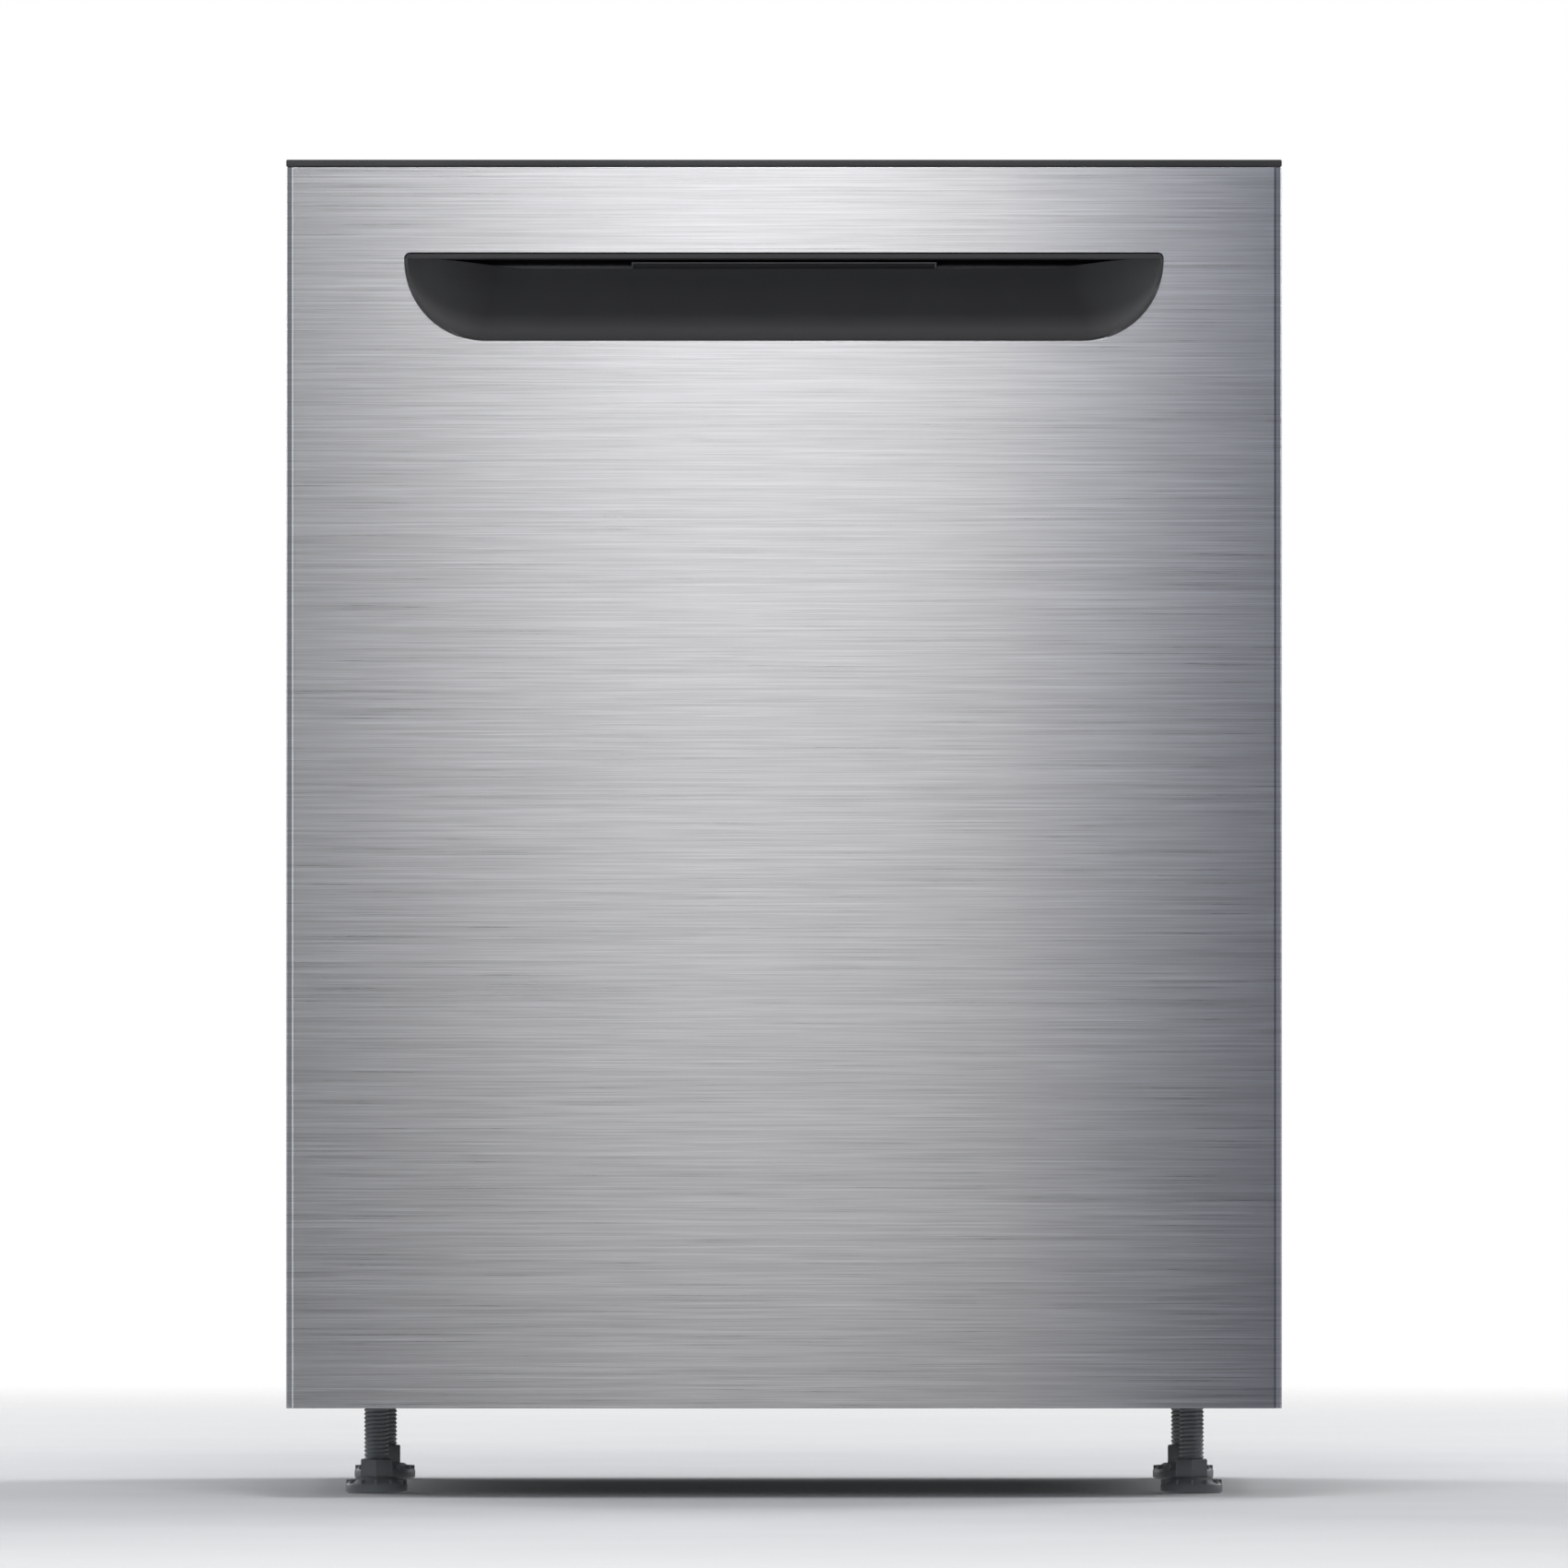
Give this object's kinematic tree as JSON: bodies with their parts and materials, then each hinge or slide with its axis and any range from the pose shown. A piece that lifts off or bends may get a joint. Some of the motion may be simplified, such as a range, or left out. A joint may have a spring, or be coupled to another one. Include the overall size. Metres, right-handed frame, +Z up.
{
  "type": "built-in dishwasher",
  "caption": "Built-in dishwasher with a brushed steel drop-down door, scooped pocket handle, hidden controls on the door's top edge, steel tub, sliding racks and spray arms.",
  "frame": {"origin": "on the floor under the middle of the machine's bounding box", "axes": "+Z up, -Y towards the person at the door, +X to the right of a person facing the door"},
  "size_m": [0.606, 0.6, 0.815],
  "materials": {
    "brushed_steel": "fine horizontal brushing",
    "tub_steel": "bright satin sheet",
    "galvanised": "zinc-plated sheet",
    "charcoal_plastic": "fine satin texture",
    "black_plastic": "satin",
    "grey_plastic": "moulded",
    "light_plastic": "moulded",
    "coated_wire": "nylon coating, smooth",
    "rubber": "matte",
    "felt": "bitumen-backed felt",
    "board_green": "solder mask"
  },
  "bodies": {
    "cabinet": {"base_pan": "black_plastic", "toe_panel": "black_plastic", "sump": "grey_plastic", "circulation_pump": "grey_plastic", "drain_pump": "grey_plastic", "junction_box": "galvanised", "inlet_valve": "light_plastic", "drain_spigot": "grey_plastic", "tub_shell": "tub_steel", "sound_blanket": "felt", "tub_collar": "tub_steel", "tub_gasket": "rubber", "counter_bracket_left": "galvanised", "counter_bracket_right": "galvanised", "latch_strike": "galvanised", "filter_plate": "tub_steel", "heater_ring": "tub_steel", "feed_tube": "grey_plastic", "upper_rail_left": "tub_steel", "upper_rail_right": "tub_steel"},
    "door": {"door_outer_panel": "brushed_steel", "handle_pocket": "charcoal_plastic", "console": "charcoal_plastic", "control_board": "board_green", "door_latch": "black_plastic", "door_inner_liner": "tub_steel", "door_insulation": "felt", "vent_grille": "grey_plastic", "dispenser_body": "grey_plastic", "hinge_arm_left": "galvanised", "hinge_arm_right": "galvanised"},
    "upper_rack": {"upper_rack": "coated_wire", "upper_manifold": "grey_plastic"},
    "leg_fl": {"leg_fl": "grey_plastic"},
    "leg_fr": {"leg_fr": "grey_plastic"},
    "leg_rl": {"leg_rl": "grey_plastic"},
    "leg_rr": {"leg_rr": "grey_plastic"},
    "filter_cylinder": {"filter_cylinder": "grey_plastic"},
    "lower_spray_arm": {"lower_spray_arm": "grey_plastic"},
    "upper_spray_arm": {"upper_spray_arm": "grey_plastic"},
    "ceiling_spray_arm": {"ceiling_spray_arm": "grey_plastic"},
    "float_cap": {"float_cap": "light_plastic"},
    "latch_paddle": {"latch_paddle": "charcoal_plastic"},
    "button_power": {"button_power": "black_plastic"},
    "button_program": {"button_program": "black_plastic"},
    "button_options": {"button_options": "black_plastic"},
    "button_delay": {"button_delay": "black_plastic"},
    "button_start": {"button_start": "black_plastic"},
    "dispenser_lid": {"dispenser_lid": "grey_plastic"},
    "rinse_aid_cap": {"rinse_aid_cap": "black_plastic"},
    "lower_rack": {"lower_rack": "coated_wire"},
    "rack_wheel_front_left": {"rack_wheel_front_left": "grey_plastic"},
    "rack_wheel_front_right": {"rack_wheel_front_right": "grey_plastic"},
    "rack_wheel_rear_left": {"rack_wheel_rear_left": "grey_plastic"},
    "rack_wheel_rear_right": {"rack_wheel_rear_right": "grey_plastic"},
    "cutlery_basket": {"cutlery_basket": "grey_plastic"},
    "cup_shelf": {"cup_shelf": "coated_wire"},
    "rail_slide_left": {"rail_slide_left": "tub_steel"},
    "rail_slide_right": {"rail_slide_right": "tub_steel"}
  },
  "joints": [
    {"name": "door_hinge", "type": "hinge", "parent": "cabinet", "child": "door", "pos_m": [0, -0.267, 0.125], "axis": [1, 0, 0], "range_deg": [0, 90]},
    {"name": "leg_fl_screw", "type": "slide", "parent": "cabinet", "child": "leg_fl", "axis": [0, 0, 1], "range_m": [0, 0.033]},
    {"name": "leg_fr_screw", "type": "slide", "parent": "cabinet", "child": "leg_fr", "axis": [0, 0, 1], "range_m": [0, 0.033]},
    {"name": "leg_rl_screw", "type": "slide", "parent": "cabinet", "child": "leg_rl", "axis": [0, 0, 1], "range_m": [0, 0.033]},
    {"name": "leg_rr_screw", "type": "slide", "parent": "cabinet", "child": "leg_rr", "axis": [0, 0, 1], "range_m": [0, 0.033]},
    {"name": "filter_twist", "type": "hinge", "parent": "cabinet", "child": "filter_cylinder", "pos_m": [0, -0.08, 0.152], "axis": [0, 0, 1], "range_deg": [0, 90]},
    {"name": "lower_arm_spin", "type": "hinge", "parent": "cabinet", "child": "lower_spray_arm", "pos_m": [0, 0.02, 0.185], "axis": [0, 0, 1], "continuous": true},
    {"name": "ceiling_arm_spin", "type": "hinge", "parent": "cabinet", "child": "ceiling_spray_arm", "pos_m": [0, 0.02, 0.7605], "axis": [0, 0, 1], "continuous": true},
    {"name": "float_lift", "type": "slide", "parent": "cabinet", "child": "float_cap", "axis": [0, 0, 1], "range_m": [0, 0.01]},
    {"name": "paddle_push", "type": "hinge", "parent": "door", "child": "latch_paddle", "pos_m": [0, -0.2522, 0.7318], "axis": [-1, 0, 0], "range_deg": [0, 12], "stiffness_Nm_per_rad": 0.6},
    {"name": "power_press", "type": "slide", "parent": "door", "child": "button_power", "axis": [0, 0, -1], "range_m": [0, 0.0012], "stiffness_N_per_m": 700},
    {"name": "program_press", "type": "slide", "parent": "door", "child": "button_program", "axis": [0, 0, -1], "range_m": [0, 0.0012], "stiffness_N_per_m": 700},
    {"name": "options_press", "type": "slide", "parent": "door", "child": "button_options", "axis": [0, 0, -1], "range_m": [0, 0.0012], "stiffness_N_per_m": 700},
    {"name": "delay_press", "type": "slide", "parent": "door", "child": "button_delay", "axis": [0, 0, -1], "range_m": [0, 0.0012], "stiffness_N_per_m": 700},
    {"name": "start_press", "type": "slide", "parent": "door", "child": "button_start", "axis": [0, 0, -1], "range_m": [0, 0.0012], "stiffness_N_per_m": 700},
    {"name": "lid_slide", "type": "slide", "parent": "door", "child": "dispenser_lid", "axis": [1, 0, 0], "range_m": [0, 0.062]},
    {"name": "cap_twist", "type": "hinge", "parent": "door", "child": "rinse_aid_cap", "pos_m": [0.074, -0.229, 0.5], "axis": [0, 1, 0], "range_deg": [0, 90]},
    {"name": "lower_rack_slide", "type": "slide", "parent": "cabinet", "child": "lower_rack", "axis": [0, -1, 0], "range_m": [0, 0.5]},
    {"name": "wheel_front_left_roll", "type": "hinge", "parent": "lower_rack", "child": "rack_wheel_front_left", "pos_m": [-0.2638, -0.125, 0.18], "axis": [1, 0, 0], "continuous": true},
    {"name": "wheel_front_right_roll", "type": "hinge", "parent": "lower_rack", "child": "rack_wheel_front_right", "pos_m": [0.2638, -0.125, 0.18], "axis": [1, 0, 0], "continuous": true},
    {"name": "wheel_rear_left_roll", "type": "hinge", "parent": "lower_rack", "child": "rack_wheel_rear_left", "pos_m": [-0.2638, 0.19, 0.18], "axis": [1, 0, 0], "continuous": true},
    {"name": "wheel_rear_right_roll", "type": "hinge", "parent": "lower_rack", "child": "rack_wheel_rear_right", "pos_m": [0.2638, 0.19, 0.18], "axis": [1, 0, 0], "continuous": true},
    {"name": "cutlery_basket_lift", "type": "slide", "parent": "lower_rack", "child": "cutlery_basket", "axis": [0, 0, 1], "range_m": [0, 0.095]},
    {"name": "upper_rack_slide", "type": "slide", "parent": "cabinet", "child": "upper_rack", "axis": [0, -1, 0], "range_m": [0, 0.5]},
    {"name": "rail_left_slide", "type": "slide", "parent": "cabinet", "child": "rail_slide_left", "axis": [0, -1, 0], "range_m": [0, 0.25]},
    {"name": "rail_right_slide", "type": "slide", "parent": "cabinet", "child": "rail_slide_right", "axis": [0, -1, 0], "range_m": [0, 0.25]},
    {"name": "upper_arm_spin", "type": "hinge", "parent": "upper_rack", "child": "upper_spray_arm", "pos_m": [0, 0.02, 0.479], "axis": [0, 0, 1], "continuous": true},
    {"name": "cup_shelf_fold", "type": "hinge", "parent": "upper_rack", "child": "cup_shelf", "pos_m": [-0.24, 0, 0.6], "axis": [0, -1, 0], "range_deg": [0, 80]}
  ],
  "couplings": [
    {"joint": "lower_rack_slide", "follows": "door_hinge", "m_per_rad": 0.1},
    {"joint": "wheel_front_left_roll", "follows": "door_hinge", "ratio": 5.5556},
    {"joint": "wheel_front_right_roll", "follows": "door_hinge", "ratio": 5.5556},
    {"joint": "wheel_rear_left_roll", "follows": "door_hinge", "ratio": 5.5556},
    {"joint": "wheel_rear_right_roll", "follows": "door_hinge", "ratio": 5.5556},
    {"joint": "upper_rack_slide", "follows": "door_hinge", "m_per_rad": 0.2865},
    {"joint": "rail_left_slide", "follows": "door_hinge", "m_per_rad": 0.14325},
    {"joint": "rail_right_slide", "follows": "door_hinge", "m_per_rad": 0.14325}
  ]
}
